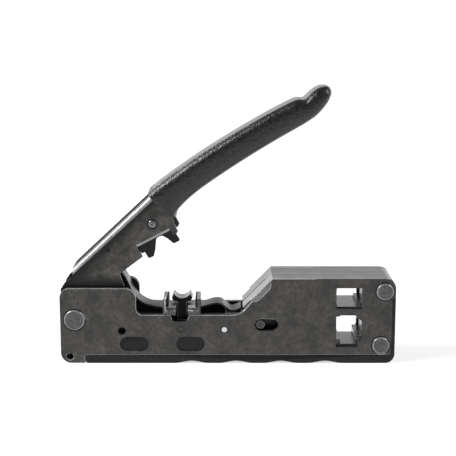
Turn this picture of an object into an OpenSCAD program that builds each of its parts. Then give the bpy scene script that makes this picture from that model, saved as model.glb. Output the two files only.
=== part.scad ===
// Hand crimping tool for modular network and telephone plugs.
// Two steel side plates carry a plastic grip insert, a plastic head cover and
// two plug nests. A sprung handle turns on the pivot rivet, drives the ram
// through a short link, and closes an arched die over a cable saddle.
// X runs along the body, Y across it, Z up. Origin: centre of the underside.

/* [Body] */
// Overall length of the body
body_l = 132; // [131:0.5:133]
// Outside width over the two side plates
body_w = 19; // [18.9:0.1:19.4]
// Thickness of each side plate
plate_t = 2; // [1.8:0.1:2]
// Height of the head
head_h = 34.4; // [34:0.1:34.8]
// Height of the floor of the die bay between pivot lobe and head
bay_z = 19.7; // [19.5:0.1:19.7]

/* [Rivets] */
// Diameter of the pivot rivet's head
pivot_head_d = 8.14; // [7.6:0.1:8.6]
// Diameter of the two head rivets' heads
rivet_head_d = 6.8; // [6.2:0.1:7]
// How far the rivet heads stand proud of the plates
rivet_proud = 0.8; // [0.5:0.1:1]

/* [Plug nests] */
// Width of the 8-contact nest, across the plug
nest8_w = 11.9; // [11.8:0.05:12]
// Width of the 4-contact nest, across the plug
nest4_w = 8.1; // [7.9:0.05:8.1]
// Pitch of the 8-contact comb
pitch8 = 1.02; // [1:0.01:1.04]
// Pitch of the 4-contact comb
pitch4 = 1.27; // [1.2:0.01:1.3]

/* [Handle] */
// Opening angle of the handle between its two stops
open_angle = 27.5; // [27.3:0.1:27.6]
// Outside width of the folded steel handle
handle_w = 14.4; // [14.2:0.1:14.4]
// Sheet thickness of the handle
handle_t = 1.5; // [1.4:0.1:1.6]
// Width of the grip sleeve
sleeve_w = 17.6; // [17:0.1:18]

/* [Crimp dies] */
// Radius of the arch in the upper die
arch_r = 4.45; // [4.4:0.05:4.5]
// Depth of the dies across the tool
die_depth = 6.8; // [6.4:0.1:6.8]

/* [Leaf spring] */
// Thickness of the leaf spring
leaf_t = 0.9; // [0.8:0.05:1]
// Width of the leaf spring
leaf_w = 7.5; // [6:0.5:7.5]

/* [Hidden] */
$fn = 48;
hw = body_w / 2;                 // outer face of a side plate
hi = hw - plate_t;               // inner face of a side plate
xl = -body_l / 2;
xr = body_l / 2;
px = -60.27; pz = 17.79;         // handle pivot
r1 = [61.73, 29.24];             // upper head rivet
r2 = [60.48, 7.38];              // lower head rivet
die_x = -18;                     // centre of saddle and arch when closed
die_y0 = -6.4;                   // near face of the upper die
ring_pin = [-18.49, 13.93];      // pin that holds the lower die
guide_pt = [-1.27, 13.73];       // bright guide pin
link_r = 8.68;                   // crank radius from pivot to link pin
link_a = 90 + open_angle / 2;    // crank angle when open
lb = [px + link_r * cos(link_a), pz + link_r * sin(link_a)];
ram_c = [-41.67, 13.15];         // link pin on the ram, handle open
travel = 2 * link_r * sin(open_angle / 2);
ram_hw = 3.4;                    // half width of the ram bar
hh = handle_w / 2;
web_a = 15.8;                    // slope of the handle's back when closed
web_p = [-48.8, 36.86];          // a point on the handle's back when closed

// points of an arc, angles in degrees
function arc(cx, cz, r, a0, a1, n) =
  [for (i = [0:n]) [cx + r * cos(a0 + (a1 - a0) * i / n), cz + r * sin(a0 + (a1 - a0) * i / n)]];
// smooth curve through hand-placed points
function cr(p0, p1, p2, p3, t) = 0.5 * (2 * p1 + (p2 - p0) * t
  + (2 * p0 - 5 * p1 + 4 * p2 - p3) * t * t + (3 * p1 - p0 - 3 * p2 + p3) * t * t * t);
function smooth(p, m) = let (n = len(p)) [for (i = [0:n - 2]) for (k = [0:m - 1])
  cr(p[max(i - 1, 0)], p[i], p[i + 1], p[min(i + 2, n - 1)], k / m)];
function unit(v) = v / norm(v);
function side(p, i, d) = let (a = p[max(i - 1, 0)], b = p[min(i + 1, len(p) - 1)],
  u = unit(b - a)) p[i] + d * [-u[1], u[0]];

// extrude an X-Z outline from y0 to y1
module slab(y0, y1) { translate([0, y1, 0]) rotate([90, 0, 0]) linear_extrude(y1 - y0) children(); }
// cylinder across the tool
module cross(p, r, y0, y1) { translate([p[0], y0, p[1]]) rotate([-90, 0, 0]) cylinder(r = r, h = y1 - y0); }
module ybox(x0, x1, z0, z1, y0, y1) { translate([x0, y0, z0]) cube([x1 - x0, y1 - y0, z1 - z0]); }
// slot with round ends along X, across the tool
module xslot(x0, x1, z, r, y0, y1) {
  cross([x0 + r, z], r, y0, y1); cross([x1 - r, z], r, y0, y1);
  ybox(x0 + r, x1 - r, z - r, z + r, y0, y1);
}
// the handle is drawn closed, and opened here about its pivot
module opened() { translate([px, 0, pz]) rotate([0, -open_angle, 0]) translate([-px, 0, -pz]) children(); }

scallops = [-14.2, 3.4, 21, 38.6];
function scal(x) = max([for (c = scallops) abs(x - c) < 6.9 ? 0.95 * pow(cos(90 * (x - c) / 6.9), 2) : 0]);

far_bay_z = 20.2;               // floor of the bay in the far plate
function plate_pts(bz) = concat(
  [[-56.45, 0]], [[xl + 4.3, 0]], arc(xl + 4.3, 4.3, 4.3, 265, 185, 8), [[xl, 4.3]],
  arc(xl + 3.8, 26.7, 3.8, 178, 92, 8), [[xl + 3.8, 30.5]],
  [[-40.3, 30.5]], arc(-40.3, 26.25, 4.25, 88, 2, 8), [[-36.05, 26.25]],
  [[-36.05, bz + 2.6]], arc(-33.45, bz + 2.6, 2.6, 185, 265, 6), [[-33.45, bz]],
  bz > 20 ? [[5.75, bz]] : concat([[1.8, bz]], arc(1.8, bz + 7, 7, 274, 313, 6)),
  [[17.5, head_h]],
  [[xr - 3.9, head_h]], arc(xr - 3.9, head_h - 3.9, 3.9, 88, 2, 8), [[xr, head_h - 3.9]],
  [[xr, 26.3]], [[64.7, 26.3]], [[64.7, 4.9]], arc(63.2, 4.9, 1.5, -5, -85, 4), [[63.2, 3.4]],
  [[-55.85, 3.4]], arc(-55.85, 2.8, 0.6, 95, 175, 3), [[-56.45, 2.8]]);

// the ramp's tab: centre on the ramp line, pushed out by 0.8
tab_c = [12.2, 30.0];
module tab(grow, y0, y1) {
  translate([tab_c[0], 0, tab_c[1]]) rotate([0, -46, 0]) xslot(-5.6 - grow, 5.6 + grow, 0, 2.85 + grow, y0, y1);
}
// shallow seat around a rivet head
module seat(p, rh, s) {
  difference() {
    cross(p, rh + 0.4, s > 0 ? hw - 0.35 : -hw - 1, s > 0 ? hw + 1 : -hw + 0.35);
    cross(p, rh + 0.01, -hw - 2, hw + 2);
  }
}
module side_plate(y0, y1, bz) {
  a = y0 - 1; b = y1 + 1; s = y0 + y1;
  difference() {
    slab(y0, y1) polygon(plate_pts(bz));
    seat([px, pz], pivot_head_d / 2, s);
    seat(r1, rivet_head_d / 2, s);
    seat(r2, rivet_head_d / 2, s);
    cross([px, pz], 2.5, a, b);
    cross(r1, 2.2, a, b);
    cross(r2, 2.2, a, b);
    cross(ring_pin, 1.375, a, b);
    cross(guide_pt, 1.375, a, b);
    cross([-41.67, 13.15], 1.5, a, b);
    cross([-62.4, 2.7], 1.5, a, b);
    xslot(-42.5, -31.24, 7.9, 2.88, a, b);
    xslot(-20.3, -9.04, 7.9, 2.88, a, b);
    xslot(10.82, 19.88, 15.7, 2.48, a, b);
    ybox(42.7, 52.8, 22.05, 30.6, a, b);
    tab(0.03, a, b);
    slab(a, b) polygon([[42.8, 6.55], [51.2, 6.55], [51.2, 8.2], [52.9, 10.2], [52.9, 17.3],
      [51.2, 18.4], [51.2, 19.55], [42.8, 19.55]]);
  }
}
module near_side_plate() {
  color("dimgray") difference() {
    side_plate(-hw, -hi, bay_z);
    slab(-hw - 1, -hi + 1) polygon([[-22.65, bay_z + 1], [-22.65, bay_z], [-21.9, 17.8], [-21.2, 17.15], [-20.5, 17.05],
      [-17.2, 17.05], [-16.5, 17.15], [-15.8, 17.8], [-15.06, bay_z], [-15.06, bay_z + 1]]);
  }
}
module far_side_plate() { color("dimgray") side_plate(hi, hw, far_bay_z); }

// rivet with a bevelled head on each side
module rivet(p, rs, rh) {
  translate([p[0], 0, p[1]]) rotate([-90, 0, 0]) rotate_extrude() polygon([[0, -hw - rivet_proud],
    [rh - 0.5, -hw - rivet_proud], [rh, -hw - rivet_proud + 0.45], [rh, -hw], [rs, -hw], [rs, hw], [rh, hw],
    [rh, hw + rivet_proud - 0.45], [rh - 0.5, hw + rivet_proud], [0, hw + rivet_proud]]);
}
module pivot_rivet() { color("gray") rivet([px, pz], 2.5, pivot_head_d / 2); }
module head_rivet_top() { color("gray") rivet(r1, 2.2, rivet_head_d / 2); }
module head_rivet_bottom() { color("gray") rivet(r2, 2.2, rivet_head_d / 2); }

insert_pts = concat(
  [for (i = [0:60]) let (x = -24 + i * 1.25) [x, scal(x)]],
  [[xr - 3.7, 0]], arc(xr - 3.7, 3.7, 3.7, -85, -5, 8), [[xr, 3.7]], [[xr, 26.1]], [[64.7, 26.1]],
  [[64.7, 4.9]], arc(63.2, 4.9, 1.5, -5, -85, 4), [[63.2, 3.4]], [[-55.85, 3.4]],
  arc(-55.6, 2.8, 0.6, 95, 175, 3), [[-56.2, 2.8]], [[-56.2, 0.7]], [[-55.5, 0]]);
module grip_insert() {
  color([0.13, 0.13, 0.13]) difference() {
    union() {
      slab(-hw, hw) polygon(insert_pts);
      ybox(-50, 28, 3.3, 10.8, -hi, hi);
      xslot(-42.47, -31.27, 7.9, 2.85, -hw + 0.45, hw - 0.45);
      xslot(-20.27, -9.07, 7.9, 2.85, -hw + 0.45, hw - 0.45);
      slab(-hi, hi) polygon([[-56.3, 0.3], [-60.6, 0.3], [-63.4, 1.3], [-64.9, 3.2], [-65.3, 5], [-65.3, 7.4], [-50.5, 7.4],
        [-50.5, 3.5], [-56.3, 3.5]]);
      slab(-hi, hi) polygon([[-56.4, 0.3], [-56.4, 3.6], [-50, 3.6], [-50, 0.3]]);
    }
    cross([-62.4, 2.7], 1.5, -hw, hw);
    ybox(-51, -33, 9.2, 12, -2.2, 2.2);
  }
}

module head_cover() {
  color([0.17, 0.17, 0.17]) difference() {
    union() {
      slab(-hi, hi) polygon(concat([[5.9, 22.4], [17.5, head_h], [xr - 3.9, head_h]],
        arc(xr - 3.9, head_h - 3.9, 3.9, 85, 5, 8), [[xr, head_h - 3.9], [xr, 26.3], [64.2, 26.3], [64.2, 30.6],
        [62.4, 32.2], [18.4, 32.2], [10.2, 23.7], [10.2, 17.4], [-1, 17.4], [-1, 18.45], [8.4, 18.45], [8.4, 21.9], [7.4, 20.9]]));
      intersection() {
        tab(0, -hw + 0.1, hw - 0.1);
        slab(-hw, hw) polygon([[5.9, 22.4], [17.5, head_h], [24, head_h], [24, 15], [5.9, 15]]);
      }
    }
    // clear the inside of the tabs below the cover strip
    slab(-hi + 2, hi - 2) polygon([[10.3, 23.7], [18.5, 32.15], [24, 32.15], [24, 15], [10.3, 15]]);
    // slot up the middle of the ramp
    translate([5.9, 0, 22.4]) rotate([0, -46, 0]) translate([-1, -0.5, -1.9]) cube([14, 1, 3]);
  }
}

module end_block() {
  color("dimgray") difference() {
    slab(-hi, hi) polygon([[55, 4.95], [63.6, 4.95], [63.6, 30.4], [62.4, 31.5], [55, 31.5]]);
    cross(r1, 2.2, -hw, hw);
    cross(r2, 2.2, -hw, hw);
  }
}
n8z = 7.2;
module nest_rj45() {
  a = -hi - 1; b = hi + 1;
  color("darkgray") difference() {
    ybox(41.2, 55, 3.4, 20.8, -hi, hi);
    ybox(44.6, 50.9, n8z, n8z + nest8_w, a, b);
    ybox(50.8, 53.6, 10.3, 17.6, a, b);
    ybox(40, 44.7, 9.0, 18.4, a, b);
  }
}
module nest_rj11() {
  a = -hi - 1; b = hi + 1;
  color("darkgray") difference() {
    ybox(41.2, 55, 20.8, 32.2, -hi, hi);
    ybox(43.05, 51.15, 22.5, 22.5 + nest4_w, a, b);
    ybox(51, 53.6, 23.7, 22.5 + nest4_w, a, b);
    ybox(40, 43.1, 23.8, 29.3, a, b);
  }
}

module cradle_frame() {
  color("slategray") difference() {
    union() {
      slab(-hw, 0.8) polygon([[die_x - 7.3, 22], [die_x + 7.3, 22], [die_x + 7.3, 26.3], [die_x + 6, 26.3], [die_x + 6, 22.7],
        [die_x - 6, 22.7], [die_x - 6, 26.3], [die_x - 7.3, 26.3]]);
      ybox(die_x - 7.3, die_x + 7.3, bay_z, 22.7, -hw, -2.6);
      ybox(die_x - 6.1, die_x - 5.3, 22.6, 26.25, -hw + 0.35, 0.8);
      ybox(die_x + 5.3, die_x + 6.1, 22.6, 26.25, -hw + 0.35, 0.8);
    }
    ybox(die_x - 2.35, die_x + 2.35, 19, 25, -hw - 1, -2.62);
  }
}
module lower_die() {
  color([0.1, 0.1, 0.1]) difference() {
    union() {
      slab(die_y0 + 0.1, die_y0 + die_depth - 1.2) polygon([[die_x - 1.85, 24.3], [die_x - 3.3, 24.3], [die_x - 4.1, 25.8],
        [die_x - 3.2, 27.9], [die_x + 3.2, 27.9], [die_x + 4.1, 25.8], [die_x + 3.3, 24.3], [die_x + 1.85, 24.3]]);
      ybox(die_x - 1.85, die_x + 1.85, 16, 24.4, die_y0 + 0.1, -2.7 - 1.1);
      slab(-hi + 0.05, -3.8) polygon([[ring_pin[0] - 2.9, 11], [ring_pin[0] + 2.9, 11], [ring_pin[0] + 2.9, 16.9],
        [ring_pin[0] - 2.9, 16.9]]);
    }
    cross([die_x, 29.29], 3.49, -hw, hw);
    cross(ring_pin, 1.375, -hw, hw);
  }
}
module stepped_pin(p, r) {
  cross(p, 1.375, -hw + 0.3, hw - 0.3);
  cross(p, r, -hw + 0.02, hw - 0.02);
}
module lower_die_pin() { color("dimgray") stepped_pin(ring_pin, 1.0); }
module guide_pin() { color("white") stepped_pin(guide_pt, 1.16); }

leaf_mid = smooth([[-50.0, 44.6], [-46.4, 40.4], [-42.8, 35.8], [-40.4, 32.0], [-38.7, 28.1], [-36.6, 24.7], [-33.5, 22.2],
  [-30, 20.95], [-25, 20.1], [-18, 19.8], [-12, 20.2], [-8.6, 21.1], [-5.2, 22.1], [-2.6, 21.9], [-0.6, 20.3], [1.4, 19.1],
  [3.6, 19.4], [5.6, 20.4]], 4);
module leaf_spring() {
  n = len(leaf_mid);
  color("slategray") slab(5.5 - leaf_w, 5.5) polygon(concat(
    [for (i = [0:n - 1]) side(leaf_mid, i, leaf_t / 2)], [for (i = [n - 1:-1:0]) side(leaf_mid, i, -leaf_t / 2)]));
}

// cheek outline, handle closed
cheek_pts = concat(
  [[-36.9, 20.2], [-36.3, 25.4], [-33.9, 25.9], [-24.9, 27.4], [-24.9, 32.8], [-10.1, 32.8], [-10.1, 29.7], [-8.9, 29.4],
   [-7.8, 30.1], [-7.75, 33], [-7.2, 35.8], [-6.9, 38], [-2, 40.4], [8, 42.6], [20, 44.2], [32, 45.2], [44, 46],
   [44, 52.8], [32, 52.3], [20, 51.4], [8, 50.2], [0, 49.2], [-8, 48.35], [-48.8, 36.86], [-51.6, 36.0], [-52.8, 33.6],
   [-54, 32.8], [-57.3, 32.2], [-59.7, 30.8]],
  arc(px, pz, 5.5, 152.5, 285, 12));
module u_profile(w, top, r) {
  translate([-w, -70]) square([2 * w, 70 - top - r]);
  translate([-w + r, -top - r - 1]) square([2 * (w - r), r + 1]);
  translate([-w + r, -top - r]) circle(r = r);
  translate([w - r, -top - r]) circle(r = r);
}
module u_prism(w, top, r) {
  translate([web_p[0], 0, web_p[1]]) rotate([0, -web_a, 0]) translate([-40, 0, 0]) rotate([90, 0, 90])
    linear_extrude(200) u_profile(w, top, r);
}
module handle_channel() {
  color("dimgray") opened() difference() {
    intersection() {
      slab(-hh, hh) polygon(cheek_pts);
      u_prism(hh, 0, 2.5);
    }
    u_prism(hh - handle_t, handle_t, 1);
    ybox(-7.5, 60, 30, 70, -hh + handle_t, hh - handle_t);
    cross([px, pz], 2.55, -hw, hw);
    cross([px + link_r * cos(link_a - open_angle), pz + link_r * sin(link_a - open_angle)], 2, -hw, hw);
    cross([-15.3, 37.3], 1.6, -hw, hw);
    cross([-15.3, 37.3], 2.0, -hw, -hh + handle_t + 0.1);
    cross([-35.3, 36.2], 0.75, -hw, -hh + 0.6);
  }
}
module handle_bush() {
  color("gray") difference() {
    cross([px, pz], 3.4, -hh + handle_t, hh - handle_t);
    cross([px, pz], 2.55, -hw, hw);
  }
}
sleeve_pts = smooth([[-10.5, 49.0], [-6, 49.95], [0, 50.9], [8, 52.0], [18, 53.1], [30, 54.0], [42, 54.6], [52, 54.7], [57, 54.4],
  [59.3, 53.1], [62, 54.0], [66, 54.6], [69.0, 53.9], [70.2, 52.0], [69.4, 49.8], [66.4, 47.6], [62, 45.6], [56, 44.7],
  [47, 44.3], [36, 43.7], [24, 42.6], [12, 41.2], [4, 39.8], [-0.4, 38.6], [-3.4, 37.5], [-5.1, 36.5], [-6.0, 35.3]], 3);
module grip_sleeve() {
  color([0.12, 0.12, 0.12]) difference() {
    opened() slab(-sleeve_w / 2, sleeve_w / 2) polygon(concat(sleeve_pts, [[-6.1, 35.2], [-10.3, 45.6]]));
    handle_channel();
    opened() ybox(-12, -7.2, 30, 50, -hh + handle_t - 0.02, hh - handle_t + 0.02);
  }
}
// the asymmetric arch of the upper die, cut through its whole depth
arch_pts = [[-20.83, 24.5], [-20.83, 25.6], [-19.2, 27.45], [-16.95, 30.95], [-16.6, 31.3], [-16.1, 31.47], [-15.2, 31.5], [-14.4, 31.35],
  [-13.93, 31.06], [-12.77, 29.34], [-11.8, 26.9], [-11.35, 26.42], [-11.35, 24.5]];
module upper_die() {
  y1 = die_y0 + die_depth;
  color([0.08, 0.08, 0.08]) opened() difference() {
    union() {
      difference() {
        slab(die_y0, y1) polygon([[die_x - 6.88, 32.5], [die_x - 6.88, 29.5], [die_x - 6.4, 29.3], [die_x - 5.3, 28.7], [die_x - 5.2, 26.6],
          [die_x - 5.1, 25.7], [die_x + 5.1, 25.7], [die_x + 5.2, 26.6], [die_x + 6.5, 27.5], [die_x + 7.6, 27.7], [die_x + 7.7, 32.5]]);
        cross([die_x, 26.55], arch_r, -hw, hw);
        ybox(die_x - arch_r, die_x + arch_r, 24, 26.55, -hw, hw);
      }
      slab(die_y0 - 0.28, die_y0 + 0.05) polygon([[-24.6, 32.3], [-24.6, 28.6], [-22.98, 28.65], [-23.06, 26.75], [-22.54, 25.6], [-20, 25.6],
        [-20, 31.8], [-12.5, 31.8], [-12.5, 26.42], [-9.2, 26.42], [-8.75, 26.7], [-8.76, 27.6], [-8.88, 29.3], [-10.14, 29.62], [-10.14, 32.3]]);
      slab(die_y0 - 0.28, die_y0 + 0.05) polygon([[-20.5, 25.6], [-11.5, 26.42], [-11.5, 31.9], [-20.5, 31.9]]);
      ybox(-24.88, die_x + 7.7, 31.9, 32.79, -7.1, 7.1);
      ybox(-24.4, -11.6, 32.7, 40.5, -hh + handle_t, hh - handle_t);
    }
    slab(-hw, hw) polygon(arch_pts);
    cross([-15.3, 37.3], 1.5, -hw, hw);
  }
}
module die_screw() {
  color("gray") opened() difference() {
    union() {
      cross([-15.3, 37.3], 1.5, -7.0, 8.4);
      translate([-15.3, 0, 37.3]) rotate([-90, 0, 0]) rotate_extrude() polygon(concat([[0, -5.9], [0, -7.75], [0.5, -7.75]],
        [for (i = [1:6]) [0.5 + 1.15 * sin(15 * i), -6.95 - 0.8 * cos(15 * i)]], [[1.65, -5.9]]));
    }
    translate([-15.3, -8.5, 37.3]) rotate([-90, 0, 0]) cylinder(r = 0.75, h = 1.6, $fn = 6);
  }
}
module die_nut() {
  color("gray") opened() difference() {
    translate([-15.3, hh, 37.3]) rotate([-90, 0, 0]) cylinder(r = 2.9, h = 2, $fn = 6);
    cross([-15.3, 37.3], 1.5, 0, hw + 1);
  }
}
module link_pin() { color("gray") cross(lb, 2, -hh, hh); }
module link_spacers() {
  color("gray") difference() {
    union() { cross(lb, 3, -hh + handle_t, -1.55); cross(lb, 3, 1.55, hh - handle_t); }
    cross(lb, 2, -hw, hw);
  }
}
module drive_link() {
  lc = [ram_c[0], ram_c[1] - 0.12];
  la = atan2(lc[1] - lb[1], lc[0] - lb[0]);
  ll = norm(lc - lb);
  color("gray") difference() {
    union() {
      cross(lb, 3.5, -1.5, 1.5);
      cross(lc, 2.9, -1.5, 1.5);
      translate([lb[0], 0, lb[1]]) rotate([0, -la, 0]) ybox(0, ll, -2.1, 2.1, -1.5, 1.5);
    }
    cross(lb, 2.05, -hw, hw);
    cross(lc, 2.1, -hw, hw);
  }
}
module ram_bar() {
  color("dimgray") difference() {
    union() {
      ybox(-45, 32.5, 11.2, 16.9, -ram_hw, ram_hw);
      ybox(10.9, 32.5, 11.2, 18.6, -ram_hw, ram_hw);
    }
    ybox(-46, -36.4, 10, 18, -1.65, 1.65);
    cross(ram_c, 1.9, -hw, hw);
    xslot(ring_pin[0] - travel - 1.52, ring_pin[0] + 1.52, ring_pin[1], 1.43, -hw, hw);
    xslot(guide_pt[0] - travel - 1.52, guide_pt[0] + 1.52, guide_pt[1], 1.43, -hw, hw);
    cross([12.95, 15.7], 1.7, -hw, hw);
  }
}
module ram_link_pin() { color("gray") cross(ram_c, 1.9, -ram_hw, ram_hw); }
module ram_slot_pin() { color("gray") cross([12.95, 15.7], 1.7, -hw + 0.5, hw - 0.5); }
module ram_head() { color("dimgray") ybox(32.5, 36.4, 5, 31, -7, 7); }
module comb(zc, n, p, bh) {
  ybox(36.4, 38, zc - bh / 2, zc + bh / 2, -3, 3);
  for (i = [0:n - 1]) ybox(37.9, 42.3, zc + (i - (n - 1) / 2) * p - 0.25, zc + (i - (n - 1) / 2) * p + 0.25, -2.6, 2.6);
}
module comb_rj45() { color("silver") comb(13.15, 8, pitch8, 8); }
module comb_rj11() { color("silver") comb(26.55, 4, pitch4, 4.9); }

near_side_plate();
far_side_plate();
pivot_rivet();
head_rivet_top();
head_rivet_bottom();
grip_insert();
head_cover();
end_block();
nest_rj45();
nest_rj11();
cradle_frame();
lower_die();
lower_die_pin();
guide_pin();
leaf_spring();
handle_channel();
handle_bush();
grip_sleeve();
upper_die();
die_screw();
die_nut();
link_pin();
link_spacers();
drive_link();
ram_bar();
ram_link_pin();
ram_slot_pin();
ram_head();
comb_rj45();
comb_rj11();
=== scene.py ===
import math

import bmesh
import bpy
from mathutils import Matrix, Vector


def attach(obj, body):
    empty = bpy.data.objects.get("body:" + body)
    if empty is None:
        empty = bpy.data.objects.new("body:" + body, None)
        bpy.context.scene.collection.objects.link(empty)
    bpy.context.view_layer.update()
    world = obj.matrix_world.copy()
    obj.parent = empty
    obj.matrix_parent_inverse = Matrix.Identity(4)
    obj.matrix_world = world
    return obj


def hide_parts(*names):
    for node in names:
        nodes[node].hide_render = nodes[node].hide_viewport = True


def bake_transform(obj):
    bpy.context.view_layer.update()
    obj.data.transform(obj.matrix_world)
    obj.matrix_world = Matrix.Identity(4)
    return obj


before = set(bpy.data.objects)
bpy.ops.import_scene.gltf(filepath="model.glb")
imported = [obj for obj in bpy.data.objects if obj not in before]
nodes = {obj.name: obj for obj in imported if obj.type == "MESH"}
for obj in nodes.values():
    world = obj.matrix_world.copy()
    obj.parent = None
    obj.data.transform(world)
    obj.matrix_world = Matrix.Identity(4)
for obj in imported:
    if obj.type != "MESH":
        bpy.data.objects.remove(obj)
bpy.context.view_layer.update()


MM = 0.001
scene = bpy.context.scene


# ---------------------------------------------------------------- materials
def nt(name):
    m = bpy.data.materials.new(name)
    m.use_nodes = True
    t = m.node_tree
    return m, t, t.nodes["Principled BSDF"]


def noise(t, scale, detail=3.0, rough=0.55, stretch=None, distort=0.0):
    """Noise in the object's own millimetres; stretch scales the three axes."""
    tc = t.nodes.new("ShaderNodeTexCoord")
    mp = t.nodes.new("ShaderNodeMapping")
    mp.inputs["Scale"].default_value = stretch or (1, 1, 1)
    n = t.nodes.new("ShaderNodeTexNoise")
    n.inputs["Scale"].default_value = scale
    n.inputs["Detail"].default_value = detail
    n.inputs["Roughness"].default_value = rough
    n.inputs["Distortion"].default_value = distort
    t.links.new(tc.outputs["Object"], mp.inputs["Vector"])
    t.links.new(mp.outputs["Vector"], n.inputs["Vector"])
    return n


def ramp(t, src, stops):
    r = t.nodes.new("ShaderNodeValToRGB")
    while len(r.color_ramp.elements) < len(stops):
        r.color_ramp.elements.new(0.5)
    for e, (p, c) in zip(r.color_ramp.elements, stops):
        e.position = p
        e.color = (*c, 1)
    t.links.new(src, r.inputs["Fac"])
    return r


def rng(t, src, a, b, lo=0.3, hi=0.7):
    r = t.nodes.new("ShaderNodeMapRange")
    r.inputs["From Min"].default_value = lo
    r.inputs["From Max"].default_value = hi
    r.inputs["To Min"].default_value = a
    r.inputs["To Max"].default_value = b
    t.links.new(src, r.inputs["Value"])
    return r


def mul(t, a, b, fac=1.0):
    m = t.nodes.new("ShaderNodeMix")
    m.data_type = "RGBA"
    m.blend_type = "MULTIPLY"
    m.inputs[0].default_value = fac
    t.links.new(a, m.inputs[6])
    t.links.new(b, m.inputs[7])
    return m.outputs[2]


def bump(t, bsdf, src, distance, strength=1.0, prev=None):
    b = t.nodes.new("ShaderNodeBump")
    b.inputs["Distance"].default_value = distance
    b.inputs["Strength"].default_value = strength
    t.links.new(src, b.inputs["Height"])
    if prev is not None:
        t.links.new(prev.outputs["Normal"], b.inputs["Normal"])
    t.links.new(b.outputs["Normal"], bsdf.inputs["Normal"])
    return b


def finish_material(name, dark, light, fine=1400, coarse=160, tint=None, rough=(0.42, 0.58),
                    metallic=0.0, spec=0.5, grain=0.00003, grain_scale=2600, stretch=None, coat=0.0):
    """Mottled finish: fine grain between two colours, slow tint, uneven gloss and a fine bump."""
    m, t, p = nt(name)
    f = noise(t, fine, 4, 0.62, stretch)
    c = noise(t, coarse, 2, 0.5)
    base = ramp(t, f.outputs["Fac"], [(0.28, dark), (0.72, light)]).outputs["Color"]
    if tint:
        base = mul(t, base, ramp(t, c.outputs["Fac"], [(0.32, tint[0]), (0.68, tint[1])]).outputs["Color"])
    t.links.new(base, p.inputs["Base Color"])
    t.links.new(rng(t, c.outputs["Fac"], *rough).outputs["Result"], p.inputs["Roughness"])
    p.inputs["Metallic"].default_value = metallic
    p.inputs["Specular IOR Level"].default_value = spec
    p.inputs["Coat Weight"].default_value = coat
    g = noise(t, grain_scale, 2, 0.5, stretch)
    bump(t, p, g.outputs["Fac"], grain)
    return m


def grey(v, warm=0.0):
    return (v * (1 + warm), v, v * (1 - warm))


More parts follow.
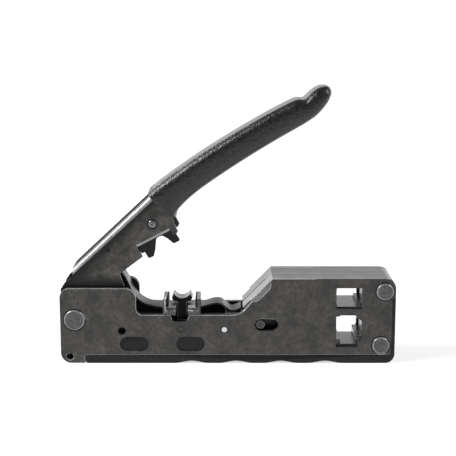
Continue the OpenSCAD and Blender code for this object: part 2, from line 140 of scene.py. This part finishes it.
MAT = {
    "plate_steel": finish_material("plate_black_oxide", grey(0.016, 0.03), grey(0.058, 0.05), 620, 170,
                                   ((0.48, 0.47, 0.45), (1.60, 1.56, 1.50)), (0.34, 0.50), 0.0, 0.5, 0.00004, 2200),
    # Light grey for rivet head rims, the handle bush and the screw, nut and pin rims: painted highlight.
    "rivet_bevel_painted_highlight": finish_material("rivet_rims_painted_highlight", grey(0.20), grey(0.36), 2200, 300,
                                  ((0.8, 0.8, 0.8), (1.1, 1.1, 1.1)), (0.22, 0.36), 0.4, 0.6),
    # Light grey for the handle's edge breaks and far bend: painted highlight.
    "handle_bevel_painted_highlight": finish_material("handle_rims_painted_highlight", grey(0.26), grey(0.46), 1400, 300,
                                   ((0.7, 0.7, 0.7), (1.15, 1.15, 1.15)), (0.26, 0.36), 0.1, 0.6),
    # Near-black with little gloss for the handle's back: painted dark reflection.
    "back_painted_dark_reflection": finish_material("handle_web_painted_dark_reflection", grey(0.003), grey(0.006), 700, 160,
                                  ((0.82, 0.82, 0.82), (1.08, 1.08, 1.08)), (0.5, 0.6), 0.0, 0.06, 0.00003, 1500),
    # Black lower die body; the same black also paints shade on the cradle's inner wall strips.
    "die_black": finish_material("lower_die_black_and_painted_shade", grey(0.002), grey(0.005), 1500, 200,
                                 ((0.85, 0.85, 0.85), (1.15, 1.15, 1.15)), (0.4, 0.5), 0.0, 0.10),
    # Light grey for the upward faces of the cradle and the lower die: painted highlight.
    "up_faces_painted_highlight": finish_material("cradle_upfaces_painted_highlight", grey(0.34), grey(0.52), 1500, 260,
                                  ((0.85, 0.85, 0.85), (1.1, 1.1, 1.1)), (0.28, 0.40), 0.1, 0.5, 0.00005, 1400),
    # Light grey for the head's sloped ramps on plates and cover: painted reflection.
    "ramp_painted_reflection": finish_material("head_slope_painted_reflection", grey(0.24), grey(0.36), 500, 120,
                                  ((0.85, 0.85, 0.85), (1.15, 1.15, 1.15)), (0.16, 0.26), 0.1, 0.8, 0.00003, 1500),
    # Darker grey for the nests' front and back faces: painted shade.
    "nest_side_painted_shade": finish_material("nest_faces_painted_shade", grey(0.10), grey(0.17), 1600, 200,
                                ((0.85, 0.85, 0.85), (1.1, 1.1, 1.1)), (0.4, 0.5), 0.0, 0.3),
    "screw_steel": finish_material("screw_worn_steel", grey(0.12), grey(0.26), 1600, 260,
                                   ((0.8, 0.8, 0.8), (1.2, 1.2, 1.2)), (0.18, 0.28), 0.6, 0.6),
    # Light grey for the handle's near bend and the far plate's low upward faces: painted highlight.
    "steel_painted_highlight": finish_material("steel_faces_painted_highlight", grey(0.24), grey(0.34), 700, 160,
                                  ((0.82, 0.82, 0.82), (1.08, 1.08, 1.08)), (0.22, 0.32), 0.1, 0.6, 0.00003, 1500),
    # Lighter grey for the top faces of the plates' head: painted highlight.
    "top_faces_painted_highlight": finish_material("head_top_painted_highlight", grey(0.13), grey(0.25), 500, 120,
                                 ((0.8, 0.8, 0.8), (1.2, 1.2, 1.2)), (0.16, 0.26), 0.1, 0.8, 0.00003, 1500,
                                 (0.06, 1, 1)),
    "grip_plastic": finish_material("insert_black_plastic", grey(0.004), grey(0.009), 900, 90,
                                    ((0.9, 0.9, 0.9), (1.1, 1.1, 1.1)), (0.45, 0.58), 0.0, 0.32, 0.00004, 1800),
    # Black plastic cover with its base colour lightened as a painted sheen.
    "cover_plastic": finish_material("head_cover_black_with_painted_sheen", grey(0.09), grey(0.20), 500, 120,
                                     ((0.7, 0.7, 0.7), (1.3, 1.3, 1.3)), (0.16, 0.26), 0.0, 0.8, 0.00003, 1500,
                                     (0.06, 1, 1)),
    "nest_steel": finish_material("nest_zinc", grey(0.34), grey(0.50), 1600, 200,
                                  ((0.85, 0.85, 0.85), (1.05, 1.05, 1.05)), (0.20, 0.30), 0.8, 0.5),
    # Near-black for the nests' edge breaks: painted shade outlines.
    "nest_bevel_painted_shade": finish_material("nest_rims_painted_shade", grey(0.006), grey(0.014), 1600, 200,
                                 ((0.85, 0.85, 0.85), (1.1, 1.1, 1.1)), (0.4, 0.5), 0.0, 0.3),
    "cradle_steel": finish_material("cradle_cast_steel", grey(0.030), grey(0.13), 1500, 260,
                                    ((0.8, 0.8, 0.8), (1.15, 1.15, 1.15)), (0.28, 0.42), 0.4, 0.6, 0.00009, 1400),
    "die_steel": finish_material("die_black_steel", grey(0.004), grey(0.012), 700, 200,
                                 ((0.6, 0.6, 0.6), (1.4, 1.4, 1.4)), (0.32, 0.44), 0.0, 0.22),
    # Light grey for the dies' edge breaks and the upper die's near face: painted highlight.
    "die_bevel_painted_highlight": finish_material("die_rims_painted_highlight", grey(0.24), grey(0.42), 1500, 200,
                                ((0.85, 0.85, 0.85), (1.15, 1.15, 1.15)), (0.24, 0.36), 0.3, 0.6),
    # Near-black for the side plates' inner faces: painted shade.
    "inner_faces_painted_shade": finish_material("plate_inner_painted_shade", grey(0.005), grey(0.012), 1300, 95,
                                  ((0.8, 0.8, 0.8), (1.2, 1.2, 1.2)), (0.45, 0.55), 0.0, 0.35),
    "bright_steel": finish_material("ground_pin_end", grey(0.72), grey(0.9), 1200, 200,
                                    ((0.9, 0.9, 0.9), (1.0, 1.0, 1.0)), (0.3, 0.42), 0.2, 0.6),
    "spring_steel": finish_material("blued_spring_steel", grey(0.045), grey(0.11), 900, 140,
                                    ((0.8, 0.8, 0.82), (1.1, 1.1, 1.1)), (0.20, 0.30), 0.5, 0.6, 0.00002, 1500,
                                    (0.2, 1, 0.2)),
    # Darker copy for the spring's sides and inner face: painted shade.
    "spring_flank_painted_shade": finish_material("spring_flanks_painted_shade", grey(0.010), grey(0.024), 1500, 200,
                                   ((0.85, 0.85, 0.85), (1.15, 1.15, 1.15)), (0.3, 0.4), 0.0, 0.45),
    # Lighter copy for the spring's rounded corners: painted highlight.
    "spring_corner_painted_highlight": finish_material("spring_corners_painted_highlight", grey(0.20), grey(0.34), 1500, 200,
                                  ((0.85, 0.85, 0.85), (1.15, 1.15, 1.15)), (0.26, 0.36), 0.2, 0.6),
    "handle_steel": finish_material("handle_black_steel", grey(0.012, 0.02), grey(0.034, 0.03), 1200, 110,
                                    ((0.6, 0.6, 0.58), (1.35, 1.33, 1.3)), (0.26, 0.38), 0.0, 0.55),
    "comb_steel": finish_material("comb_polished", grey(0.35), grey(0.5), 1500, 200,
                                  ((0.9, 0.9, 0.9), (1.0, 1.0, 1.0)), (0.25, 0.35), 0.9, 0.5),
    "pin_dark": finish_material("pin_dark_oxide", grey(0.022, 0.05), grey(0.055, 0.06), 1800, 200,
                                ((0.8, 0.79, 0.77), (1.15, 1.13, 1.1)), (0.32, 0.46), 0.1, 0.5),
}


def plate_edge_material(name):
    """Plate rim: painted highlight along the open side and the foot, painted shade around the head, holes and windows.
    """
    m, t, p = nt(name)
    tc = t.nodes.new("ShaderNodeTexCoord")
    sep = t.nodes.new("ShaderNodeSeparateXYZ")
    t.links.new(tc.outputs["Object"], sep.inputs["Vector"])

    def join(op, a, b):
        q = t.nodes.new("ShaderNodeMath")
        q.operation = op
        t.links.new(a, q.inputs[0])
        t.links.new(b, q.inputs[1])
        return q.outputs["Value"]

    def step(axis, at, a=0.0, b=1.0, soft=0.0004):
        return rng(t, sep.outputs[axis], a, b, at, at + soft).outputs["Result"]

    # Painted light on the plate rims: the open side and the foot stay bright as painted highlight, the rest falls to
    # 0.06 as painted shade.
    left = join("MULTIPLY", step("X", 0.0345, 1, 0), join("MAXIMUM", step("Z", 0.0176), step("X", -0.0652, 1, 0)))
    left = join("MULTIPLY", left, join("MAXIMUM", step("Z", 0.0226), step("X", -0.0570)))
    left = join("MAXIMUM", left, step("X", -0.0652, 1, 0))
    foot = step("Z", 0.0040, 1, 0)
    rim_painted_light_mask = ramp(t, join("MAXIMUM", left, foot), [(0, (0.06, 0.06, 0.06)), (1, (1, 1, 1))])
    n = noise(t, 1100, 3, 0.6)
    base = ramp(t, n.outputs["Fac"], [(0.3, grey(0.62)), (0.7, grey(0.85))]).outputs["Color"]
    t.links.new(mul(t, base, rim_painted_light_mask.outputs["Color"]), p.inputs["Base Color"])
    t.links.new(rng(t, n.outputs["Fac"], 0.36, 0.46).outputs["Result"], p.inputs["Roughness"])
    p.inputs["Specular IOR Level"].default_value = 0.15
    return m


def handle_cheek_material(name):
    """Black handle steel: painted shade under the bent back and above the lobe, paler smears on the cheek."""
    m, t, p = nt(name)
    tc = t.nodes.new("ShaderNodeTexCoord")
    mp = t.nodes.new("ShaderNodeMapping")
    mp.inputs["Rotation"].default_value = (0, math.radians(44), 0)
    sep = t.nodes.new("ShaderNodeSeparateXYZ")
    flat = t.nodes.new("ShaderNodeSeparateXYZ")
    t.links.new(tc.outputs["Object"], mp.inputs["Vector"])
    t.links.new(mp.outputs["Vector"], sep.inputs["Vector"])
    t.links.new(tc.outputs["Object"], flat.inputs["Vector"])
    top = HANDLE_TOP
    # Painted shade: the cheek darkens under the bent back and just above the lobe.
    under_back_painted_shade = rng(t, sep.outputs["Z"], 1.0, 0.10, top - 0.0062, top - 0.0030)
    foot = rng(t, flat.outputs["Z"], 0.06, 1.0, 0.0322, 0.0355)
    f = noise(t, 620, 4, 0.62)
    c = noise(t, 150, 3, 0.55, None, 0.6)
    base = ramp(t, f.outputs["Fac"], [(0.28, grey(0.030, 0.03)), (0.72, grey(0.075, 0.04))]).outputs["Color"]
    base = mul(t, base, ramp(t, c.outputs["Fac"], [(0.32, (0.45, 0.45, 0.44)), (0.68, (1.7, 1.68, 1.62))]).outputs["Color"])
    for r in (under_back_painted_shade, foot):
        base = mul(t, base, ramp(t, r.outputs["Result"], [(0, (0, 0, 0)), (1, (1, 1, 1))]).outputs["Color"])
    t.links.new(base, p.inputs["Base Color"])
    t.links.new(rng(t, c.outputs["Fac"], 0.34, 0.46).outputs["Result"], p.inputs["Roughness"])
    p.inputs["Specular IOR Level"].default_value = 0.3
    g = noise(t, 2600, 2, 0.5)
    bump(t, p, g.outputs["Fac"], 0.00003)
    return m


def rivet_material(name, cx, cz, dark, light):
    """Turned rivet head: fine rings about its own axis over a mottled oxide."""
    m, t, p = nt(name)
    tc = t.nodes.new("ShaderNodeTexCoord")
    mp = t.nodes.new("ShaderNodeMapping")
    mp.vector_type = "POINT"
    mp.inputs["Location"].default_value = (-cx, 0, -cz)
    w = t.nodes.new("ShaderNodeTexWave")
    w.wave_type = "RINGS"
    w.rings_direction = "Y"
    w.inputs["Scale"].default_value = 420
    w.inputs["Distortion"].default_value = 1.2
    w.inputs["Detail"].default_value = 2
    t.links.new(tc.outputs["Object"], mp.inputs["Vector"])
    t.links.new(mp.outputs["Vector"], w.inputs["Vector"])
    n = noise(t, 900, 4, 0.6)
    base = ramp(t, n.outputs["Fac"], [(0.3, dark), (0.7, light)]).outputs["Color"]
    t.links.new(mul(t, base, ramp(t, w.outputs["Fac"], [(0, (0.82, 0.82, 0.82)), (1, (1.1, 1.1, 1.1))]).outputs["Color"]),
                p.inputs["Base Color"])
    t.links.new(rng(t, n.outputs["Fac"], 0.38, 0.52).outputs["Result"], p.inputs["Roughness"])
    p.inputs["Specular IOR Level"].default_value = 0.55
    p.inputs["Metallic"].default_value = 0.1
    bump(t, p, w.outputs["Fac"], 0.00002)
    return m


def sleeve_material(name, pebble):
    """Dipped PVC: pebbled on the flanks, satin on the back strip, whose paler base colour is a painted sheen."""
    m, t, p = nt(name)
    n = noise(t, 700, 3, 0.6)
    # The satin back strip's paler base colour is a painted sheen.
    lo, hi = (0.004, 0.018) if pebble else (0.12, 0.19)
    t.links.new(ramp(t, n.outputs["Fac"], [(0.3, grey(lo)), (0.7, grey(hi))]).outputs["Color"], p.inputs["Base Color"])
    p.inputs["Specular IOR Level"].default_value = 0.5 if pebble else 0.7
    if pebble:
        v = t.nodes.new("ShaderNodeTexVoronoi")
        v.feature = "SMOOTH_F1"
        v.inputs["Scale"].default_value = 1700
        v.inputs["Smoothness"].default_value = 0.7
        tc = t.nodes.new("ShaderNodeTexCoord")
        t.links.new(tc.outputs["Object"], v.inputs["Vector"])
        b = bump(t, p, n.outputs["Fac"], 0.00012, 0.6)
        bump(t, p, v.outputs["Distance"], 0.00014, 0.8, b)
        t.links.new(rng(t, n.outputs["Fac"], 0.22, 0.38).outputs["Result"], p.inputs["Roughness"])
    else:
        bump(t, p, n.outputs["Fac"], 0.00003, 0.6)
        t.links.new(rng(t, n.outputs["Fac"], 0.28, 0.36).outputs["Result"], p.inputs["Roughness"])
    return m


# how far the handle's back lies from the origin along the turned axis of the cheek material
HANDLE_TOP = max(-math.sin(math.radians(44)) * v.co.x + math.cos(math.radians(44)) * v.co.z
                 for v in nodes["handle_channel"].data.vertices if -0.05 < v.co.x < -0.02)
print("handle top", HANDLE_TOP)
MAT["plate_rim_painted_light"] = plate_edge_material("plate_rims_painted_light_and_shade")
MAT["handle_cheek"] = handle_cheek_material("handle_cheek_steel")
MAT["sleeve_pvc"] = sleeve_material("sleeve_pebbled_pvc", True)
MAT["sleeve_back_strip_painted_sheen"] = sleeve_material("sleeve_satin_back_painted_sheen", False)
MAT["pivot"] = rivet_material("pivot_rivet_head", -0.06027, 0.01779, grey(0.040, 0.03), grey(0.130, 0.03))
MAT["r1"] = rivet_material("upper_rivet_head", 0.06173, 0.02924, grey(0.040, 0.03), grey(0.130, 0.03))
MAT["r2"] = rivet_material("lower_rivet_head", 0.06048, 0.00738, grey(0.040, 0.03), grey(0.130, 0.03))


# ------------------------------------------------------------ CAD node looks
def dress(name, body_mat, edge_mat=None, width=0.25, segments=2, angle=35, *groups):
    """Material and a small edge break on a CAD node; its mesh stays as packed.
    Each group is (material, pick), and pick(centre in mm, normal) says which faces take it."""
    o = nodes[name]
    o.data.materials.clear()
    o.data.materials.append(MAT[body_mat])
    o.data.materials.append(MAT[edge_mat or body_mat])
    for g, _ in groups:
        o.data.materials.append(MAT[g])
    for f in o.data.polygons:
        f.material_index = 0
        for k, (_, pick) in enumerate(groups):
            if pick(f.center / MM, f.normal):
                f.material_index = 2 + k
        f.use_smooth = True
    w = o.modifiers.new("weld", "WELD")
    w.merge_threshold = 2e-6
    d = o.modifiers.new("merge_flats", "DECIMATE")
    d.decimate_type = "DISSOLVE"
    d.delimit = {"MATERIAL"}
    d.angle_limit = math.radians(0.6)
    if width:
        b = o.modifiers.new("edge_break", "BEVEL")
        b.width = width * MM
        b.segments = segments
        b.limit_method = "ANGLE"
        b.angle_limit = math.radians(angle)
        b.use_clamp_overlap = True
        b.miter_outer = "MITER_ARC"
        if edge_mat:
            b.material = 1
    n = o.modifiers.new("shade", "WEIGHTED_NORMAL")
    n.keep_sharp = False
    n.weight = 100
    return o


UP = Vector((-math.sin(math.radians(44)), 0, math.cos(math.radians(44))))

# Side plates: inner faces take painted shade.
dress("near_side_plate", "plate_steel", "plate_rim_painted_light", 0.34, 2, 35, ("inner_faces_painted_shade", lambda c, n: n.y > 0.9),
      # Head top faces take a painted highlight.
      ("top_faces_painted_highlight", lambda c, n: n.z > 0.9 and c.z > 33), ("ramp_painted_reflection", lambda c, n: n.x < -0.3 and n.z > 0.3 and c.z > 21 and c.x > 4))
dress("far_side_plate", "plate_steel", "plate_rim_painted_light", 0.34, 2, 35, ("inner_faces_painted_shade", lambda c, n: n.y < -0.9),
      ("top_faces_painted_highlight", lambda c, n: n.z > 0.9 and c.z > 33), ("ramp_painted_reflection", lambda c, n: n.x < -0.3 and n.z > 0.3 and c.z > 21 and c.x > 4),
      # The far plate's low upward faces take a painted highlight.
      ("steel_painted_highlight", lambda c, n: n.z > 0.9 and c.z < 21.5))
# Rivet heads: the rounded rim around each head takes a painted highlight.
for rivet, head in (("pivot_rivet", "pivot"), ("head_rivet_top", "r1"), ("head_rivet_bottom", "r2")):
    dress(rivet, head, None, 0, 2, 35, ("rivet_bevel_painted_highlight", lambda c, n: 0.2 < abs(n.y) < 0.95))
dress("grip_insert", "grip_plastic", None, 0)
# Head cover: its base is a painted sheen, its ramps a painted reflection.
dress("head_cover", "cover_plastic", None, 0.18, 2, 35, ("ramp_painted_reflection", lambda c, n: n.x < -0.3 and n.z > 0.3 and c.z > 21))
dress("end_block", "plate_steel", None, 0).modifiers.clear()
# Nests: front and back faces take a darker copy as painted shade, edge breaks near-black as painted shade.
dress("nest_rj45", "nest_steel", "nest_bevel_painted_shade", 0.22, 2, 35, ("nest_side_painted_shade", lambda c, n: abs(n.y) > 0.9))
dress("nest_rj11", "nest_steel", "nest_bevel_painted_shade", 0.22, 2, 35, ("nest_side_painted_shade", lambda c, n: abs(n.y) > 0.9))
# Cradle: upward faces take painted highlight, the strips along its inner walls painted shade; the lower die's upper
# faces take the painted highlight too.
dress("cradle_frame", "cradle_steel", None, 0, 2, 35, ("up_faces_painted_highlight", lambda c, n: n.z > 0.9),
      ("die_black", lambda c, n: 5.2 < abs(c.x + 18) < 6.05 and c.z > 22.75))
dress("lower_die", "die_black", "die_bevel_painted_highlight", 0.14, 2, 35, ("up_faces_painted_highlight",
      lambda c, n: n.z > 0.35 and c.z > 25.6))
dress("lower_die_pin", "pin_dark", None, 0.1)
dress("guide_pin", "bright_steel", "pin_dark", 0.12, 2, 35, ("pin_dark", lambda c, n: abs(c.y) < 9.3))
dress("handle_channel", "handle_cheek", "handle_bevel_painted_highlight", 0.22, 2, 35,
      # The handle's near bend takes a painted highlight.
      ("steel_painted_highlight", lambda c, n: -0.975 < n.y < -0.2 and n.dot(UP) > 0.2),
      # The handle's back takes the painted dark reflection.
      ("back_painted_dark_reflection", lambda c, n: abs(n.y) < 0.2 and n.dot(UP) > 0.9),
      # The handle's far bend takes a painted highlight.
      ("handle_bevel_painted_highlight", lambda c, n: n.y > 0.2 and n.dot(UP) > 0.2))
dress("handle_bush", "rivet_bevel_painted_highlight", None, 0.1)
# The upper die's proud near face and edge breaks take a painted highlight.
dress("upper_die", "die_steel", "die_bevel_painted_highlight", 0.2, 2, 35, ("die_bevel_painted_highlight", lambda c, n: n.y < -0.9 and c.y < -7.05))
dress("die_screw", "screw_steel", "rivet_bevel_painted_highlight", 0.1)
dress("die_nut", "pin_dark", "rivet_bevel_painted_highlight", 0.15)
dress("link_pin", "pin_dark", None, 0.12)
dress("link_spacers", "pin_dark", None, 0.12)
dress("drive_link", "handle_steel", None, 0.15)
dress("ram_bar", "pin_dark", None, 0.15)
dress("ram_link_pin", "pin_dark", None, 0.1)
dress("ram_slot_pin", "pin_dark", "rivet_bevel_painted_highlight", 0.2)
dress("ram_head", "pin_dark", None, 0.15)
dress("comb_rj45", "comb_steel", None, 0.04, 1)
dress("comb_rj11", "comb_steel", None, 0.04, 1)


# --------------------------------------------------------------- mesh helpers
def opened(p):
    """A point of the closed handle, turned to where the open handle has it."""
    a = math.radians(27.5)
    x, z = p[0] + 60.27, p[1] - 17.79
    return (-60.27 + x * math.cos(a) - z * math.sin(a), 17.79 + x * math.sin(a) + z * math.cos(a))


def catmull(p, m):
    out = []
    for i in range(len(p) - 1):
        a, b, c, d = p[max(i - 1, 0)], p[i], p[i + 1], p[min(i + 2, len(p) - 1)]
        for k in range(m):
            t = k / m
            out.append(tuple(0.5 * (2 * q1 + (q2 - q0) * t + (2 * q0 - 5 * q1 + 4 * q2 - q3) * t * t
                                    + (3 * q1 - q0 - 3 * q2 + q3) * t ** 3) for q0, q1, q2, q3 in zip(a, b, c, d)))
    out.append(tuple(p[-1]))
    return out


def loft(name, rings, mats, mat_of=None, cap_start=True, cap_end=True, smooth=True):
    """A closed skin through rings of equal length; mat_of(i, j) picks a face's material."""
    bm = bmesh.new()
    vs = [[bm.verts.new(Vector(p) * MM) for p in r] for r in rings]
    n = len(rings[0])
    for i in range(len(rings) - 1):
        for j in range(n):
            k = (j + 1) % n
            f = bm.faces.new((vs[i][j], vs[i][k], vs[i + 1][k], vs[i + 1][j]))
            f.material_index = mat_of(i, j) if mat_of else 0
            f.smooth = smooth
    if cap_start:
        bm.faces.new(list(reversed(vs[0]))).smooth = smooth
    if cap_end:
        bm.faces.new(vs[-1]).smooth = smooth
    bmesh.ops.remove_doubles(bm, verts=bm.verts, dist=1e-7)
    bmesh.ops.recalc_face_normals(bm, faces=bm.faces)
    me = bpy.data.meshes.new(name)
    bm.to_mesh(me)
    bm.free()
    for m in mats:
        me.materials.append(MAT[m])
    o = bpy.data.objects.new(name, me)
    scene.collection.objects.link(o)
    return o


# ---------------------------------------------------------------- grip sleeve
# (back x, back z, belly x, belly z, width share), handle closed
STATIONS = [
    (-11.3, 48.8, -6.5, 35.0, 1.0), (-8.8, 49.35, -5.2, 36.4, 1.005), (-6.0, 49.95, -3.4, 37.5, 1.0),
    (-3.0, 50.4, -0.4, 38.6, 1.0), (0.0, 50.9, 1.6, 39.2, 1.0), (4.0, 51.45, 5.0, 40.0, 1.0), (8.0, 52.0, 9.0, 40.75, 1.0),
    (18, 53.1, 19, 42.05, 1.0), (30, 54.0, 30.5, 43.2, 1.0), (42, 54.6, 42, 44.02, 1.0), (51.5, 54.72, 50.5, 44.4, 1.0),
    (56.0, 54.5, 54.8, 44.6, 1.0), (57.6, 54.0, 56.4, 44.75, 0.997), (58.9, 53.2, 58.0, 44.95, 0.99), (60.3, 53.35, 59.8, 45.2, 0.985),
    (62.2, 54.0, 62.2, 45.85, 0.975), (64.6, 54.45, 64.8, 46.9, 0.95), (66.8, 54.45, 66.9, 48.0, 0.90), (68.4, 54.0, 68.5, 49.2, 0.80),
    (69.5, 53.3, 69.6, 50.3, 0.62), (70.0, 52.65, 70.05, 51.2, 0.40), (70.15, 52.2, 70.18, 51.7, 0.18),
]


def half_profile(h):
    """Half the sleeve's section from the middle of its back to the middle of its belly: (y, depth)."""
    s = min(1.0, h / 10.0)
    up = [(0, 0), (2.2, 0), (4.2, 0.0), (5.35, 0.03), (5.75, 0.12), (5.95, 0.42), (6.12, 0.55), (6.3, 0.44), (6.62, 0.40),
          (7.1, 0.58), (7.6, 0.95), (8.05, 1.45), (8.4, 2.05), (8.64, 2.8), (8.76, 3.7), (8.8, 4.7)]
    dn = [(8.8, 4.6), (8.74, 3.6), (8.6, 2.8), (8.32, 2.05), (7.9, 1.35), (7.3, 0.8), (6.5, 0.38), (5.5, 0.12), (4.0, 0.0), (2.0, 0.0), (0, 0)]
    return [(y, d * s) for y, d in up] + [(y, h - d * s) for y, d in dn]


st = catmull(STATIONS, 6)
rings = []
for i, (tx, tz, bx, bz, wf) in enumerate(st):
    h = math.hypot(tx - bx, tz - bz)
    hp = half_profile(h)
    ring = []
    lead = max(0.0, 1 - i / 14.0) ** 2
    full = [(y * wf, d) for y, d in hp] + [(-y * wf, d) for y, d in reversed(hp[1:-1])]
    for y, d in full:
        v = d / h if h > 1e-6 else 0
        x = tx + (bx - tx) * v
        z = tz + (bz - tz) * v
        # the start edge bows out a little between back and belly
        x -= 0.75 * math.sin(math.pi * min(1, v * 1.6)) * lead if v < 0.625 else 0
        q = opened((x, z))
        ring.append((q[0], y, q[1]))
    rings.append(ring)


def inset(ring, share_y, depth, along):
    """A smaller copy of a ring, moved along the handle: lips and recesses at the sleeve's mouth."""
    cx = sum(p[0] for p in ring) / len(ring)
    cz = sum(p[2] for p in ring) / len(ring)
    out = []
    for x, y, z in ring:
        dx, dz = cx - x, cz - z
        l = math.hypot(dx, dz) or 1
        out.append((x + dx / l * min(depth, l) + along[0], y * share_y, z + dz / l * min(depth, l) + along[1]))
    return out


a_dir = opened((-9.5, 42.2))
b_dir = opened((-0.5, 44.9))
l_dir = math.hypot(b_dir[0] - a_dir[0], b_dir[1] - a_dir[1])
ax = ((b_dir[0] - a_dir[0]) / l_dir, (b_dir[1] - a_dir[1]) / l_dir)
mouth = [
    inset(rings[0], 0.85, 1.45, (ax[0] * 3.0, ax[1] * 3.0)),
    inset(rings[0], 0.855, 1.35, (ax[0] * 0.9, ax[1] * 0.9)),
    inset(rings[0], 0.875, 1.1, (ax[0] * 0.2, ax[1] * 0.2)),
    inset(rings[0], 0.925, 0.62, (0, 0)),
    inset(rings[0], 0.972, 0.25, (ax[0] * 0.08, ax[1] * 0.08)),
    inset(rings[0], 0.993, 0.07, (ax[0] * 0.3, ax[1] * 0.3)),
]
rings = mouth + [inset(rings[0], 1.0, 0.0, (ax[0] * 0.62, ax[1] * 0.62))] + rings[3:]
NR = len(rings[0])
# Faces of the back strip take the satin material with its painted sheen.
strip = {j for j in range(NR) if j <= 3 or j >= NR - 4}
sleeve = loft("sleeve_dipped", rings, ["sleeve_pvc", "sleeve_back_strip_painted_sheen"],
              lambda i, j: 1 if (j in strip and i > 8) else 0)
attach(sleeve, "handle")
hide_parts("grip_sleeve")

# ---------------------------------------------------------------- leaf spring
LEAF = [(-50.0, 44.6), (-46.4, 40.4), (-42.8, 35.8), (-40.4, 32.0), (-38.7, 28.1), (-36.6, 24.7), (-33.5, 22.2),
        (-30, 20.95), (-25, 20.1), (-18, 19.8), (-12, 20.2), (-8.6, 21.1), (-5.2, 22.1), (-2.6, 21.9), (-0.6, 20.3),
        (1.4, 19.1), (3.6, 19.4), (5.6, 20.4)]
mid = catmull(LEAF, 10)
lr = []
for i, (x, z) in enumerate(mid):
    a, b = mid[max(i - 1, 0)], mid[min(i + 1, len(mid) - 1)]
    l = math.hypot(b[0] - a[0], b[1] - a[1])
    nx, nz = -(b[1] - a[1]) / l, (b[0] - a[0]) / l
    y0, y1, c, t2 = -2.0, 5.5, 0.16, 0.45
    if i < 2 or i > len(mid) - 3:
        y0, y1, t2 = y0 + 0.2, y1 - 0.2, 0.3
    sec = [(y0 + c, -t2), (y1 - c, -t2), (y1, -t2 + c), (y1, t2 - c), (y1 - c, t2), (y0 + c, t2), (y0, t2 - c), (y0, -t2 + c)]
    lr.append([(x + nx * d, y, z + nz * d) for y, d in sec])
# Outer face plain; sides and inner face a darker copy as painted shade, rounded corners a lighter copy as painted
# highlight.
leaf = loft("spring_strip", lr, ["spring_steel", "spring_flank_painted_shade", "spring_corner_painted_highlight"],
            lambda i, j: (1, 2, 1, 2, 0, 2, 1, 2)[j])
lm = leaf.modifiers.new("shade", "WEIGHTED_NORMAL")
lm.keep_sharp = False
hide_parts("leaf_spring")
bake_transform(leaf)

# ------------------------------------------------------- floor, light, camera
bpy.ops.mesh.primitive_grid_add(x_subdivisions=2, y_subdivisions=2, size=1, location=(0, 0, 0))
floor = bpy.context.object
floor.name = "floor"
floor.scale = (14, 14, 1)
fm, ft, fp = nt("floor_white")
fn = noise(ft, 6, 2, 0.5)
ft.links.new(ramp(ft, fn.outputs["Fac"], [(0.3, (0.52, 0.52, 0.52)), (0.7, (0.56, 0.56, 0.56))]).outputs["Color"], fp.inputs["Base Color"])
fp.inputs["Roughness"].default_value = 0.3
fp.inputs["Specular IOR Level"].default_value = 0.4
fp.inputs["Emission Color"].default_value = (1, 1, 1, 1)
fp.inputs["Emission Strength"].default_value = 0.62
floor.data.materials.append(fm)

# studio: a bright sweep low behind the tool, a darker ceiling and room
world = bpy.data.worlds.new("studio")
scene.world = world
world.use_nodes = True
wt = world.node_tree
bg = wt.nodes["Background"]
tc = wt.nodes.new("ShaderNodeTexCoord")
sep = wt.nodes.new("ShaderNodeSeparateXYZ")
wt.links.new(tc.outputs["Generated"], sep.inputs["Vector"])
up = rng(wt, sep.outputs["Z"], 1.0, 0.0, 0.16, 0.46)
back = rng(wt, sep.outputs["Y"], 0.0, 1.0, -0.35, 0.45)
both = wt.nodes.new("ShaderNodeMath")
both.operation = "MULTIPLY"
wt.links.new(up.outputs["Result"], both.inputs[0])
wt.links.new(back.outputs["Result"], both.inputs[1])
wt.links.new(ramp(wt, both.outputs["Value"], [(0.0, (0.16, 0.16, 0.16)), (1.0, (1.0, 1.0, 1.0))]).outputs["Color"], bg.inputs["Color"])
bg.inputs["Strength"].default_value = 1.0


def area(name, loc, aim, size, power):
    d = bpy.data.lights.new(name, "AREA")
    d.shape = "RECTANGLE"
    d.size, d.size_y = size
    d.energy = power
    o = bpy.data.objects.new(name, d)
    o.location = loc
    o.rotation_euler = (Vector(aim) - Vector(loc)).to_track_quat("-Z", "Y").to_euler()
    scene.collection.objects.link(o)
    return o


area("softbox_left", (-0.80, -0.14, 0.66), (0, 0, 0.04), (0.46, 0.46), 12)
area("softbox_right", (0.85, -0.12, 0.66), (0, 0, 0.04), (0.36, 0.36), 5)

cam = bpy.data.cameras.new("camera")
cam.lens = 78.158
cam.sensor_width = 36
cam.shift_y = -63 / 456
cam.clip_start = 0.01
cam.clip_end = 50
camo = bpy.data.objects.new("camera", cam)
camo.location = (0.0001475, -0.383545, 0.142161)
camo.rotation_euler = (math.radians(80.5), 0, 0)
scene.collection.objects.link(camo)
scene.camera = camo
scene.view_settings.view_transform = "Standard"
scene.view_settings.look = "None"

bpy.context.view_layer.update()
